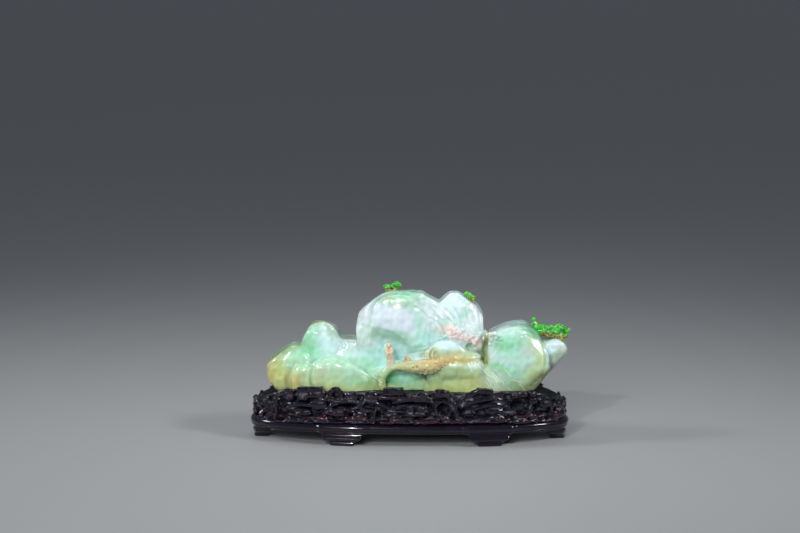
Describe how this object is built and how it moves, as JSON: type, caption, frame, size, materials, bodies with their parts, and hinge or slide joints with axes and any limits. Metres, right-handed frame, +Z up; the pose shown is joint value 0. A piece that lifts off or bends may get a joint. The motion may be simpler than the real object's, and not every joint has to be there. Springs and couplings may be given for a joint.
{
  "type": "jade mountain carving",
  "caption": "Jadeite boulder carved as a mountain with peaks, pines, a grotto and a ledge, set in the recess of an oval openwork hardwood stand on bracket feet.",
  "frame": {"origin": "on the surface it stands on, under the centre of the object's bounding box", "axes": "+Z up, +X along the length to the viewer's right, -Y towards the viewer, who faces the carved front"},
  "size_m": [0.2501, 0.0866, 0.1232],
  "materials": {
    "jadeite": "polished translucent jadeite, ice white with apple and emerald green patches and a yellow russet skin",
    "dark_hardwood": "near-black purple-brown hardwood, waxed to a high gloss"
  },
  "bodies": {
    "root": {"jade_mountain": "jadeite", "carved_stand": "dark_hardwood"}
  },
  "joints": []
}
